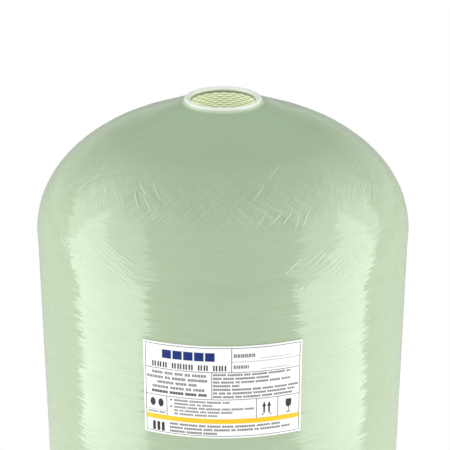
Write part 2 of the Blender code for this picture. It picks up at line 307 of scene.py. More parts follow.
def bandNoise(angle, cells, seed):
    # smooth random heights round the tank, the same after a full turn
    values = np.random.default_rng(seed).uniform(-1, 1, cells)
    at = (angle / math.tau % 1) * cells
    i = np.floor(at).astype(int) % cells
    t = at - np.floor(at)
    t = t * t * (3 - 2 * t)
    return values[i] * (1 - t) + values[(i + 1) % cells] * t


def makeWinding(material):
    piece = turnPiece("vessel_winding", outerSide + innerSide, vessel["steps"])
    points = getPoints(piece)
    radius = np.hypot(points[:, 0], points[:, 1])
    around = np.arctan2(points[:, 1], points[:, 0])
    surface, along = surfaceAt(points[:, 2])
    outside = radius > surface - 0.0008

    # each ply's own coordinates, which its shader pattern follows
    relief = np.zeros(len(points))
    for name, (turn, way) in plies.items():
        gone = np.interp(along, outerAlong, turnAngle(turn))
        path = around - way * gone
        layer = piece.data.attributes.new(name, "FLOAT_VECTOR", "POINT")
        values = np.stack([np.cos(path), np.sin(path), along], axis=1)
        layer.data.foreach_set("vector", values.ravel().astype(np.float32))
        seed = 11 + len(name) + way
        broad, fine, last = vessel["relief"]
        if turn < 0.1:
            relief += broad * bandNoise(path, 72, seed) + fine * bandNoise(path, 150, seed + 1)
        else:
            near = np.clip((radius - turn - 0.004) / 0.012, 0, 1)
            relief += near * last * bandNoise(path, 110, seed)

    # the bands stand on the upper dome only, and fade out under the hoops and at the neck
    fade = np.clip((points[:, 2] - vessel["reliefFrom"]) / vessel["reliefOver"], 0, 1)
    fade *= np.clip((radius - 0.04) / 0.02, 0, 1)
    lift = np.where(outside, relief * fade, 0)
    points[:, :2] *= (1 + lift / np.maximum(radius, 0.02))[:, None]
    points[:, 2] += lift * 0.8
    setPoints(piece, points)
    dressPiece(piece, material, 50, ["wound_shell"])
    return piece


resin = {  # lines are (tilt, metres apart, metres long)
    "hoops": [((0.03, 0.02, 0), 0.0014, 0.04), ((-0.05, 0.03, 0.4), 0.0024, 0.03)],
    "leans": [((0.02, 0.03, 0.2), 0.0016, 0.025), ((0.01, -0.02, 0.1), 0.007, 0.09)],
    "plies": {"polar": (0.002, 0.06), "middle": (0.0016, 0.07), "shoulder": (0.0016, 0.05)},
    "fades": {  # heights between which each comes in or goes out
        "onDome": (1.06, 1.07), "middle": (1.11, 1.095), "shoulder": (1.1, 1.088),
        "nearNeck": (1.08, 1.125)},
    "ridge": 0.00008,
    "leanHoops": 0.26,
    "leanDome": 0.1,
}


def resinMaterial():
    # Polyester resin over glass rovings, wet wound and cured in air: a glossy, slightly milky
    # green skin in which every roving stands as a low ridge, so reflections break into lines.
    material, tree, shader, place = startMaterial("woundGlassFibre", "#adbfa1", 0.05, 1.72)
    height = addNode(tree, "ShaderNodeSeparateXYZ", {0: place}).outputs["Z"]

    def hoopLines(tilt, apart, length):
        # hoops lie nearly level: ridges this far apart, which fade in and out over the length
        turned = addNode(tree, "ShaderNodeMapping", {
            "Vector": place, "Rotation": tilt, "Scale": (1 / length, 1 / length, 1 / apart)})
        return addNode(tree, "ShaderNodeTexNoise", {"Vector": turned, "Scale": 1.0, "Detail": 2.0})

    def plyLines(name, apart, length):
        around = vessel["radius"] / apart
        ply = addNode(tree, "ShaderNodeAttribute", attribute_name=name).outputs["Vector"]
        sized = addNode(tree, "ShaderNodeVectorMath", {0: ply, 1: (around, around, 1 / length)},
                        operation="MULTIPLY")
        return addNode(tree, "ShaderNodeTexNoise", {"Vector": sized, "Scale": 1.0, "Detail": 2.0})

    fades = {}
    for name, (low, high) in resin["fades"].items():
        fades[name] = addNode(tree, "ShaderNodeMapRange", {
            "Value": height, "From Min": low, "From Max": high}, interpolation_type="SMOOTHSTEP")
    onDome = fades["onDome"]

    # hoops lie over the cylinder and the foot of the dome, and crossing plies above them
    first, second = [hoopLines(*lines) for lines in resin["hoops"]]
    hoops = addNode(tree, "ShaderNodeMath", {0: first, 1: second}, operation="ADD")
    pairs = {}
    for name, (apart, length) in resin["plies"].items():
        pairs[name] = addNode(tree, "ShaderNodeMath", {
            0: plyLines(name + "Plus", apart, length),
            1: plyLines(name + "Minus", apart, length)}, operation="ADD")
    crossed = addNode(tree, "ShaderNodeMath", {0: pairs["polar"], 1: 0.3}, operation="MULTIPLY")
    middle = addNode(tree, "ShaderNodeMath", {0: pairs["middle"], 1: fades["middle"]},
                     operation="MULTIPLY")
    crossed = addNode(tree, "ShaderNodeMath", {0: middle, 1: 0.7, 2: crossed},
                      operation="MULTIPLY_ADD")
    shoulder = addNode(tree, "ShaderNodeMath", {0: pairs["shoulder"], 1: 1.0},
                       operation="SUBTRACT")
    crossed = addNode(tree, "ShaderNodeMath", {0: shoulder, 1: fades["shoulder"], 2: crossed},
                      operation="MULTIPLY_ADD")
    lines = addNode(tree, "ShaderNodeMix", {
        "Factor": onDome, "A": hoops, "B": crossed}, data_type="FLOAT")
    higher = addNode(tree, "ShaderNodeMath", {0: onDome, 1: 1.0}, operation="ADD")
    ridges = addNode(tree, "ShaderNodeMath", {0: lines, 1: higher}, operation="MULTIPLY")
    bump = addNode(tree, "ShaderNodeBump", {
        "Height": ridges, "Strength": 1.0, "Distance": resin["ridge"]})

    # every hoop leans a little its own way, so the edges of what it mirrors are frayed
    fine, broad = [hoopLines(*lines) for lines in resin["leans"]]
    lean = addNode(tree, "ShaderNodeMath", {0: broad, 1: 0.3, 2: fine}, operation="MULTIPLY_ADD")
    lean = addNode(tree, "ShaderNodeMath", {0: lean, 1: 0.65}, operation="SUBTRACT")
    most = addNode(tree, "ShaderNodeMapRange", {
        "Value": onDome, "To Min": resin["leanHoops"], "To Max": resin["leanDome"]})
    lean = addNode(tree, "ShaderNodeMath", {0: lean, 1: most}, operation="MULTIPLY")
    facing = addNode(tree, "ShaderNodeNewGeometry").outputs["Normal"]
    sideways = addNode(tree, "ShaderNodeVectorMath", {0: (0, 0, 1), 1: facing},
                       operation="CROSS_PRODUCT").outputs["Vector"]
    shift = addNode(tree, "ShaderNodeVectorMath", {0: sideways, "Scale": lean},
                    operation="SCALE").outputs["Vector"]
    normal = addNode(tree, "ShaderNodeVectorMath", {0: bump, 1: shift},
                     operation="ADD").outputs["Vector"]
    normal = addNode(tree, "ShaderNodeVectorMath", {0: normal}, operation="NORMALIZE")
    setInputs(tree, shader, {"Normal": normal})

    # glass that is wetted a little more or less gives faint streaks along the rovings, and the
    # colour is a little darker near the neck
    fainter = addNode(tree, "ShaderNodeMath", {0: hoops, 1: 0.35, 2: 0.65},
                      operation="MULTIPLY_ADD")
    wetting = addNode(tree, "ShaderNodeMix", {
        "Factor": onDome, "A": fainter, "B": crossed}, data_type="FLOAT")
    tint = addNode(tree, "ShaderNodeMapRange", {
        "Value": wetting, "From Min": 0.72, "From Max": 1.28})
    colour = addNode(tree, "ShaderNodeMix", {
        "Factor": tint, "A": toLinear("#a1b494"), "B": toLinear("#afc0a3")}, data_type="RGBA")
    darker = addNode(tree, "ShaderNodeMix", {
        "Factor": fades["nearNeck"], "A": colour, "B": toLinear("#a1b796")},
        data_type="RGBA")
    setInputs(tree, shader, {"Base Color": darker})
    shader.inputs["Specular Tint"].default_value = (0.94, 1.0, 0.92, 1.0)
    return material


winding = makeWinding(resinMaterial())
print("winding made:", len(winding.data.polygons), "faces")


# Raised rovings: single strands that set before they sank in, each a low ridge from one place
# to another, as degrees round from the front and millimetres up

strands = {
    "width": 0.0024,
    "height": 0.0004,  # of the whole strand, which is partly sunk in
    "sunk": 0.0002,
    "seed": 7,
    "groups": [  # first strand, last strand, how many, and how loosely they lie
        ((-43.0, 1051, -23.0, 1032), (-48.5, 1037, -26.5, 1012), 10, 1),
        ((-30.5, 1040, -23.7, 1032), (-33.0, 1028, -25.6, 1015), 4, 1),
        ((-57.5, 1030, -55.8, 1038), (-46.0, 1024, -43.5, 1035), 8, 1),
        ((-51.0, 1084, -41.0, 1072), (-31.5, 1084, -24.5, 1072), 5, 3),
        ((-36.0, 1090, -27.0, 1079), (-30.0, 1091, -22.0, 1080), 2, 1),
        ((-23.0, 1079, -27.0, 1067), (-14.7, 1073, -18.0, 1067), 6, 1.5),
        ((-55.8, 1086, -60.8, 1066), (-50.5, 1083, -57.0, 1064), 4, 2),
        ((28.1, 1100, 17.7, 1092), (17.7, 1092, 10.7, 1082), 2, 0),
        ((4.0, 1074, 8.0, 1066), (4.9, 1078, 9.5, 1069), 2, 1),
        ((9.0, 1064, 17.0, 1078), (25.5, 1062, 31.0, 1073), 5, 3),
        ((10.0, 1082, 18.0, 1068), (24.5, 1084, 31.0, 1070), 4, 3),
        ((31.0, 1046, 22.3, 1034), (42.5, 1022, 36.5, 1014), 9, 1),
        ((38.5, 1040, 26.0, 1026), (40.5, 1032, 31.5, 1019), 4, 1),
        ((45.8, 1041, 48.1, 1033), (40.5, 1037, 43.0, 1027), 6, 1),
        ((23.1, 1041, 21.5, 1039), (18.5, 1033, 16.8, 1030), 4, 1),
        ((23.5, 1022, 20.5, 1016), (25.5, 1021, 22.5, 1015), 2, 1),
        ((67.2, 1073, 58.8, 1061), (47.5, 1084, 41.0, 1073), 8, 2)],
}


def layStrand(base, fromAngle, fromHeight, toAngle, toHeight):
    strand = copyPiece(base)
    points = getPoints(strand)
    share = (points[:, 2] + 1) / 2
    start, end = (surfaceAt(h / 1000)[1] for h in (fromHeight, toHeight))
    along = start + (end - start) * share
    angle = np.radians(fromAngle + (toAngle - fromAngle) * share)
    radius = np.interp(along, outerAlong, outerRadius)

    # across the strand, and up from the winding
    run, turn = end - start, math.radians(toAngle - fromAngle) * radius.mean()
    across = points[:, 0] * strands["width"] / 2 / math.hypot(run, turn)
    along += across * turn
    angle -= across * run / radius
    radius = np.interp(along, outerAlong, outerRadius)
    height = np.interp(along, outerAlong, outerHeight)
    fromMiddle = points[:, 2]
    even = (1 - fromMiddle ** 4) / np.maximum(np.sqrt(1 - fromMiddle ** 2), 0.1)
    lift = points[:, 1] * even * strands["height"] - strands["sunk"]
    fall = -np.interp(along, outerAlong, np.gradient(outerHeight, outerAlong))
    spread = np.interp(along, outerAlong, np.gradient(outerRadius, outerAlong))
    radius += lift * fall
    height += lift * spread
    setPoints(strand, np.stack([radius * np.sin(angle), -radius * np.cos(angle), height], axis=1))
    return strand


def strandMaterial():
    # Glass strands with a thin film of resin: they scatter more light than the wet ply round
    # them, so they read as pale lines with a soft shine.
    material, tree, shader, place = startMaterial("dryStrand", "#b8caad", 0.18, 1.65)
    # patches about 14 mm long
    colour, _ = mottledColour(tree, place, 70.0, 2.0, "#a6b99b", "#bacbae")
    setInputs(tree, shader, {"Base Color": colour})
    return material


def makeStrands(material):
    base = startPrimitive("roving", bpy.ops.mesh.primitive_uv_sphere_add, segments=8,
                          ring_count=9, radius=1)
    draw = np.random.default_rng(strands["seed"])
    laid = []
    for first, last, count, loose in strands["groups"]:
        for i in range(count):
            ends = np.array(first) + (np.array(last) - np.array(first)) * i / (count - 1)
            ends += draw.uniform(-1, 1, 4) * (0.4, 0.8, 0.4, 0.8) * loose
            laid.append(layStrand(base, *ends))
    bpy.data.objects.remove(base)
    piece = joinPieces("raised_rovings", laid)
    dressPiece(piece, material)
    return piece


raised = makeStrands(strandMaterial())
print("raised rovings made:", len(raised.data.polygons), "faces")


# Neck: collar with a full round lip, and the bush with its thread

neck = {
    "rim": 1.13,
    "lipMiddle": 0.0316,  # the lip is a full round of this middle radius
    "lipRound": 0.0026,
    "boreRadius": 0.029,
    "collarRadius": 0.0342,
    "seatRadius": 0.0373,
    "flangeRadius": 0.0562,
    "flangeTaper": 0.007,
    "flangeRise": 0.0008,  # off the dome's ellipse, and so for its edge and its underside
    "flangeEdge": -0.002,
    "flangeUnder": -0.0032,
    "flareRound": 0.0024,
    "depth": 0.03,
    "bushRadius": 0.0315,
    "bushSleeve": 0.038,
    "bushFoot": 0.0032,
    "bushEdge": 0.0012,
    "lipDepth": 0.0044,
    "steps": 192,
    "threadDepth": 0.001,
    "threadCrest": 0.028,
    "threadPitch": 0.00188,
    "threadTop": 0.0052,
    "threadEnd": 0.0285,
    "dash": 0.0084,  # from one pale dash of painted highlight on a crest to the next
    "glow": 0.37,
}


def makeCollar(material):
    rim, r = neck["rim"], neck["lipRound"]
    lip = (neck["lipMiddle"], rim - r)
    profile = arcPoints(lip, r, 180, 0, 20)  # over the lip from the bore to the outside
    profile += arcPoints((neck["seatRadius"], rim - 0.002), neck["flareRound"], 180, 270, 8)[1:]
    flange, thin = neck["flangeRadius"], neck["flangeRadius"] - neck["flangeTaper"]
    over, edge, under = neck["flangeRise"], neck["flangeEdge"], neck["flangeUnder"]
    for radius, lift in ((neck["seatRadius"], over), (thin, over), (flange, edge),
                         (flange, under), (thin, under), (neck["collarRadius"], under)):
        profile.append(domePoint(True, angleAt(radius), lift))
    socket = neck["bushRadius"] + vessel["gap"]
    lower, upper = rim - neck["depth"], rim - neck["lipDepth"]
    profile += [(neck["collarRadius"], lower), (socket, lower), (socket, upper),
                (neck["boreRadius"] + 0.0001, upper)]
    piece = turnPiece("moulded_collar", profile, neck["steps"])
    dressPiece(piece, material, 40, ["neck_collar"])
    return piece


def makeBush(material):
    top = neck["rim"] - neck["lipDepth"] - vessel["gap"]
    shoulder = neck["rim"] - neck["depth"] - vessel["gap"]
    bottom, bore, sleeve = shoulder - neck["bushFoot"], neck["boreRadius"], neck["bushSleeve"]
    edge, lead = neck["bushEdge"], neck["threadDepth"]
    profile = [(bore + lead, top), (neck["bushRadius"], top), (neck["bushRadius"], shoulder),
               (sleeve, shoulder), (sleeve, bottom + edge)]
    profile += arcPoints((sleeve - edge, bottom + edge), edge, 0, -90, 4)[1:]
    profile += [(bore + lead, bottom), (bore, bottom + lead), (bore, top - lead)]
    tube = turnPiece("bush_tube", profile, neck["steps"])

    # the thread is one tooth on the bore, screwed down the axis and closed at both ends
    crest, pitch = neck["threadCrest"], neck["threadPitch"]
    z = neck["rim"] - neck["threadTop"]
    tooth = [(bore + 0.0003, z + 0.0008), (crest, z + 0.00025), (crest, z - 0.00025),
             (bore + 0.0003, z - 0.0008)]
    thread = drawProfile("bush_thread", tooth, True)
    bpy.ops.object.mode_set(mode="OBJECT")
    turns = int((neck["threadEnd"] - neck["threadTop"]) / pitch)
    screw = thread.modifiers.new("thread", "SCREW")
    screw.angle = math.tau * turns
    screw.screw_offset = -pitch * turns
    screw.steps = screw.render_steps = 96 * turns
    screw.use_merge_vertices = False
    bpy.ops.object.modifier_apply(modifier="thread")
    bpy.ops.object.mode_set(mode="EDIT")
    bpy.ops.mesh.select_all(action="SELECT")
    bpy.ops.mesh.fill_holes(sides=8)
    faceOutwards()
    piece = joinPieces("moulded_bush", [tube, thread])
    dressPiece(piece, material, 40, ["threaded_bush"])
    return piece


def collarMaterial():
    # ABS, injection moulded in the resin's pale green: smooth, a little glossy, faintly mottled
    # where the melt flowed round the ring.
    material, tree, shader, place = startMaterial("mouldedNeckPlastic", "#e6ece1", 0.28, 1.53)
    # flow marks about 11 mm apart
    lip, _ = mottledColour(tree, place, 90.0, 3.0, "#e9efe3", "#f1f5ec")
    height = addNode(tree, "ShaderNodeSeparateXYZ", {0: place}).outputs["Z"]
    paintedFlareShade = addNode(tree, "ShaderNodeMapRange", {  # painted shade and a painted reflection of the green winding on the flare below the lip
        "Value": height, "From Min": neck["rim"] - 0.0007, "From Max": neck["rim"] - 0.0038})
    # the flare is painted the winding's green, as painted shade and a painted reflection of it
    colour = addNode(tree, "ShaderNodeMix", {
        "Factor": paintedFlareShade, "A": lip, "B": toLinear("#a9bc9f")},
        data_type="RGBA")
    flat = addNode(tree, "ShaderNodeVectorMath", {0: place, 1: (1, 1, 0)}, operation="MULTIPLY")
    away = addNode(tree, "ShaderNodeVectorMath", {0: flat}, operation="LENGTH")
    inside = addNode(tree, "ShaderNodeMath", {0: away.outputs["Value"], 1: neck["lipMiddle"]},
                     operation="LESS_THAN")
    deep = addNode(tree, "ShaderNodeMapRange", {  # painted shade on the inner side, deepening down to the bush
        "Value": height, "From Min": neck["rim"] - 0.0024, "From Max": neck["rim"] - 0.0034},
        interpolation_type="SMOOTHSTEP")
    paintedRecessShade = addNode(tree, "ShaderNodeMath", {0: inside, 1: deep}, operation="MULTIPLY")
    pale = addNode(tree, "ShaderNodeMix", {"Factor": inside, "A": colour, "B": lip},
        data_type="RGBA")
    # painted shade: the inner side of the lip goes dark green in the recess over the bush
    colour = addNode(tree, "ShaderNodeMix", {
        "Factor": paintedRecessShade, "A": pale, "B": toLinear("#8c9d83")},
        data_type="RGBA")
    setInputs(tree, shader, {"Base Color": colour})
    grain = addNode(tree, "ShaderNodeTexNoise", {"Vector": place, "Scale": 1400.0, "Detail": 2.0})
    bump = addNode(tree, "ShaderNodeBump", {"Height": grain, "Strength": 1.0, "Distance": 0.00002})
    setInputs(tree, shader, {"Normal": bump})
    return material


def bushMaterial():
    # Natural ABS, moulded and left uncoloured: warm yellowish, with a painted highlight on the
    # crests in pale broken dashes and painted shade in the green roots. A little emission stands in
    # for light that comes through its thin wall.
    material, tree, shader, place = startMaterial("mouldedThreadPlastic", "#dcdfae", 0.3, 1.53)
    parts = addNode(tree, "ShaderNodeSeparateXYZ", {0: place}).outputs
    angle = addNode(tree, "ShaderNodeMath", {0: parts["Y"], 1: parts["X"]}, operation="ARCTAN2")
    climb = addNode(tree, "ShaderNodeMath", {
        0: angle, 1: neck["threadPitch"] / math.tau, 2: parts["Z"]}, operation="MULTIPLY_ADD")
    along = addNode(tree, "ShaderNodeMath", {0: angle, 1: neck["boreRadius"]},
                    operation="MULTIPLY")
    turns = addNode(tree, "ShaderNodeMath", {0: climb, 1: neck["threadPitch"]}, operation="DIVIDE")
    row = addNode(tree, "ShaderNodeMath", {0: turns}, operation="FLOOR")
    dash = addNode(tree, "ShaderNodeMath", {
        0: along, 1: math.tau / neck["dash"],
        2: addNode(tree, "ShaderNodeMath", {0: row, 1: math.pi}, operation="MULTIPLY")},
        operation="MULTIPLY_ADD")
    dash = addNode(tree, "ShaderNodeMath", {0: dash}, operation="SINE")
    crest = addNode(tree, "ShaderNodeMath", {0: turns, 1: math.tau}, operation="MULTIPLY")
    crest = addNode(tree, "ShaderNodeMath", {0: crest}, operation="SINE")
    glow = addNode(tree, "ShaderNodeMath", {0: dash, 1: 0.28, 2: 0.5}, operation="MULTIPLY_ADD")
    glow = addNode(tree, "ShaderNodeMath", {0: crest, 1: 0.5, 2: glow},
                   operation="MULTIPLY_ADD", use_clamp=True)
    # painted highlight on the crests and painted shade in the roots, in broken dashes
    crestHighlightRootShade = addNode(tree, "ShaderNodeMix", {
        "Factor": glow, "A": toLinear("#94a685"), "B": toLinear("#f9f8d8")},
        data_type="RGBA")
    cloud = addNode(tree, "ShaderNodeTexNoise", {"Vector": place, "Scale": 160.0, "Detail": 3.0})
    share = addNode(tree, "ShaderNodeMath", {0: cloud, 1: 0.2}, operation="MULTIPLY")
    colour = addNode(tree, "ShaderNodeMix", {"Factor": share, "A": crestHighlightRootShade,
        "B": toLinear("#dde2b8")}, data_type="RGBA")
    setInputs(tree, shader, {"Base Color": colour, "Emission Color": colour})
    shader.inputs["Emission Strength"].default_value = neck["glow"]
    return material


makeCollar(collarMaterial())
makeBush(bushMaterial())
print("neck made")


# Liner: the CAD node stays, with its own finish

def linerMaterial():
    # Polyethylene, blow moulded: waxy, soft sheen, faint flow marks down the wall
    material, tree, shader, place = startMaterial("linerPolythene", "#dfe3d2", 0.45, 1.51)
    drawn = addNode(tree, "ShaderNodeMapping", {"Vector": place, "Scale": (60, 60, 6)})
    colour, flow = mottledColour(tree, drawn, 1.0, 3.0, "#d8dcc8", "#e6e9dc")
    setInputs(tree, shader, {"Base Color": colour})
    bump = addNode(tree, "ShaderNodeBump", {"Height": flow, "Strength": 1.0, "Distance": 0.0003})
    setInputs(tree, shader, {"Normal": bump})
    return material


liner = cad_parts["inner_liner"]
linerFinish = linerMaterial()
if not liner.material_slots:
    liner.data.materials.append(linerFinish)
for slotOnLiner in liner.material_slots:
    slotOnLiner.material = linerFinish
print("liner dressed")


# Foot: a moulded skirt, with ribs and a hub under the vessel

foot = {
    "skirtBore": 0.1682,
    "skirtWall": 0.0035,
    "skirtTop": 0.1445,
    "draft": 0.0012,
    "bead": 0.0014,
    "beadHeight": 0.006,
    "toeWidth": 0.0028,
    "toeHeight": 0.007,
    "edge": 0.0012,
    "ribs": 12,
    "ribWall": 0.003,
    "clearance": 0.003,
    "hubRadius": 0.078,
    "hubWall": 0.0035,
    "drains": 4,
    "drainRadius": 0.009,
    "ribReach": 0.004,
    "ribOuter": 0.1674,  # ribs stand up beside the vessel from this radius out
    "underGap": 0.0004,  # ribs and hub stop this far under the vessel
    "steps": 192,
}


def underVessel(radius):
    # where a piece under the vessel stops, at a radius
    side = domeSide(False, vessel["bossHole"], 0.004)
    return float(np.interp(radius, [p[0] for p in side], [p[1] for p in side])) - foot["underGap"]


def makeSkirt():
    bore, edge = foot["skirtBore"], foot["edge"]
    top = bore + foot["skirtWall"]
    lip, toe = top + foot["bead"], top + foot["draft"] + foot["toeWidth"]
    profile = arcPoints((bore + 0.0006, foot["skirtTop"] - 0.0006), 0.0006, 180, 90, 4)
    profile += arcPoints((lip - edge, foot["skirtTop"] - edge), edge, 90, 0, 8)
    low = foot["skirtTop"] - foot["beadHeight"]
    profile += arcPoints((lip - 0.0005, low + 0.0005), 0.0005, 0, -60, 3)
    profile.append((top + 0.0002, low - foot["bead"]))
    profile.append((top + foot["draft"], foot["toeHeight"] + foot["toeWidth"] / 2))
    profile += arcPoints((toe - edge, foot["toeHeight"] - edge), edge, 75, 0, 6)
    profile += arcPoints((toe - edge, edge), edge, 0, -90, 6)
    profile += [(bore + foot["draft"], 0.0), (bore, low)]
    skirt = turnPiece("foot_skirt", profile, foot["steps"])

    # half-round water ways, midway between two ribs
    for i in range(foot["drains"]):
        angle = math.tau * (foot["ribs"] / foot["drains"] * i + 0.5) / foot["ribs"]
        middle = (math.cos(angle) * (bore + 0.002), math.sin(angle) * (bore + 0.002), 0)
        cutter = startPrimitive(
            "drain_cutter", bpy.ops.mesh.primitive_cylinder_add, vertices=48,
            radius=foot["drainRadius"], depth=0.016, location=middle,
            rotation=(0, math.pi / 2, angle))
        cut = skirt.modifiers.new("drain", "BOOLEAN")
        cut.operation = "DIFFERENCE"
        cut.object = cutter
        bpy.context.view_layer.objects.active = skirt
        bpy.ops.object.modifier_apply(modifier="drain")
        bpy.data.objects.remove(cutter)
    return skirt


def makeRib():
    # a plate whose top follows the vessel, drawn as an outline and given its wall
    start, end = foot["hubRadius"] - foot["hubWall"] / 2, foot["skirtBore"] + 0.001
    reach = vessel["lowerShoulder"] + foot["ribReach"]
    outer = foot["ribOuter"]
    radii = np.linspace(start, outer - 0.0002, 22)
    outline = [(end, foot["clearance"]), (start, foot["clearance"])]
    outline += [(float(r), underVessel(r)) for r in radii]
    outline += [(outer, vessel["lowerShoulder"]), (outer, reach), (end, reach)]
    rib = drawProfile("foot_rib", outline, True)
    bpy.ops.mesh.edge_face_add()
    faceOutwards()
    thick = rib.modifiers.new("wall", "SOLIDIFY")
    thick.thickness = foot["ribWall"]
    thick.offset = 0.0
    soft = rib.modifiers.new("edges", "BEVEL")
    soft.width = 0.0005
    soft.segments = 2
    soft.limit_method = "ANGLE"
    bpy.ops.object.modifier_apply(modifier="wall")
    bpy.ops.object.modifier_apply(modifier="edges")
    return rib


def makeHub():
    inner, outer = foot["hubRadius"] - foot["hubWall"], foot["hubRadius"]
    bottom = foot["clearance"]
    profile = [(inner, underVessel(inner)), (outer, underVessel(outer))]
    profile += arcPoints((outer - 0.0008, bottom + 0.0008), 0.0008, 0, -90, 4)
    profile += arcPoints((inner + 0.0008, bottom + 0.0008), 0.0008, 270, 180, 4)
    return turnPiece("foot_hub", profile, foot["steps"])


def makeFoot(material):
    pieces = [makeSkirt(), makeHub()]
    rib = makeRib()
    for i in range(foot["ribs"]):
        copy = copyPiece(rib)
        copy.data.transform(Matrix.Rotation(math.tau * i / foot["ribs"], 4, "Z"))
        pieces.append(copy)
    bpy.data.objects.remove(rib)
    piece = joinPieces("foot_moulding", pieces)
    dressPiece(piece, material, 35, ["foot"])
    return piece


def footMaterial():
    # Polypropylene with carbon black, injection moulded in a spark-eroded mould: a fine even
    # grain, satin sheen, and scuffs that are paler towards the floor.
    material, tree, shader, place = startMaterial("blackPolypropylene", "#1b1c1d", 0.42, 1.49)
    grain = addNode(tree, "ShaderNodeTexNoise", {"Vector": place, "Scale": 900.0, "Detail": 3.0})
    flow = addNode(tree, "ShaderNodeTexNoise", {"Vector": place, "Scale": 14.0, "Detail": 4.0})
    height = addNode(tree, "ShaderNodeSeparateXYZ", {0: place}).outputs["Z"]
    low = addNode(tree, "ShaderNodeMapRange", {
        "Value": height, "From Min": 0.03, "From Max": 0.0}, interpolation_type="SMOOTHSTEP")
    scuff = addNode(tree, "ShaderNodeTexNoise", {"Vector": place, "Scale": 160.0, "Detail": 5.0})
    worn = addNode(tree, "ShaderNodeMath", {0: low, 1: scuff}, operation="MULTIPLY")
    colour = addNode(tree, "ShaderNodeMix", {
        "Factor": worn, "A": toLinear("#191a1b"), "B": toLinear("#3c3c3a")},
        data_type="RGBA")
    setInputs(tree, shader, {"Base Color": colour})
    rough = addNode(tree, "ShaderNodeMapRange", {"Value": flow, "To Min": 0.36, "To Max": 0.5})
    setInputs(tree, shader, {"Roughness": rough})
    bump = addNode(tree, "ShaderNodeBump", {"Height": grain, "Strength": 1.0, "Distance": 0.00006})
    setInputs(tree, shader, {"Normal": bump})
    return material


makeFoot(footMaterial())
print("foot made")


# Label: a vinyl sheet rolled round the front, with a plain printed layout on it

label = {
    "width": 0.1337,  # round the vessel
    "height": 0.0859,
    "top": 0.9717,
    "radius": 0.1673,
    "wall": 0.00025,
    "ink": 0.00003,  # the print's thickness, as much as it needs to show
    "border": (1.9, 131.8, 1.9, 84.0),  # left, right, top and bottom of the frame, in millimetres
    "line": 0.5,
    "hairline": 0.3,
    "seed": 4,
}


def rollOnVessel(piece, radius):
    # X becomes the distance round the vessel from its front, Y the height off its surface
    points = getPoints(piece)
    angle = points[:, 0] / label["radius"] - math.pi / 2
    out = radius - points[:, 1]
    rolled = np.stack([out * np.cos(angle), out * np.sin(angle), points[:, 2]], axis=1)
    setPoints(piece, rolled)


def makeSheet(material):
    sheet = startPrimitive(
        "label_sheet", bpy.ops.mesh.primitive_grid_add, x_subdivisions=64, y_subdivisions=8,
        size=1, rotation=(math.pi / 2, 0, 0))
    sheet.scale = (label["width"], label["height"], 1)
    sheet.location = (0, 0, label["top"] - label["height"] / 2)
    bpy.ops.object.transform_apply(location=True, rotation=True, scale=True)
    thick = sheet.modifiers.new("wall", "SOLIDIFY")
    thick.thickness = label["wall"]
    thick.offset = -1.0
    bpy.ops.object.modifier_apply(modifier="wall")
    bpy.ops.object.mode_set(mode="EDIT")
    faceOutwards()
    points = getPoints(sheet)
    points[:, 1] -= points[:, 1].max()
    setPoints(sheet, points)
    rollOnVessel(sheet, label["radius"])
    dressPiece(sheet, material, 30, ["label"])
    return sheet


def thickenInk(shape):
    # a flat shape is stood up, and drawn out as thick as the ink
    bpy.ops.object.transform_apply(location=True, rotation=True, scale=True)
    bpy.ops.object.mode_set(mode="EDIT")
    bpy.ops.mesh.select_all(action="SELECT")
    bpy.ops.mesh.extrude_region_move(TRANSFORM_OT_translate={"value": (0, -label["ink"], 0)})
    faceOutwards()
    return shape


def makeBar(name, cuts):
    # a slab one unit wide and high, cut up so that it can be rolled
    return thickenInk(startPrimitive(
        name, bpy.ops.mesh.primitive_grid_add, x_subdivisions=cuts, y_subdivisions=1, size=1,
        rotation=(math.pi / 2, 0, 0)))


def makeShape(name, sides):
    # a filled shape in a unit square
    return thickenInk(startPrimitive(
        name, bpy.ops.mesh.primitive_circle_add, vertices=sides, radius=0.5, fill_type="NGON",
        rotation=(math.pi / 2, 0, 0)))


def placeInk(shape, left, top, right, bottom):
    # a copy of a unit shape, in millimetres from the label's top left corner
    copy = copyPiece(shape)
    x = (left + right) / 2000 - label["width"] / 2
    z = label["top"] - (top + bottom) / 2000
    size = Matrix.Diagonal(((right - left) / 1000, 1, (bottom - top) / 1000, 1))
    copy.data.transform(Matrix.Translation((x, 0, z)) @ size)
    return copy


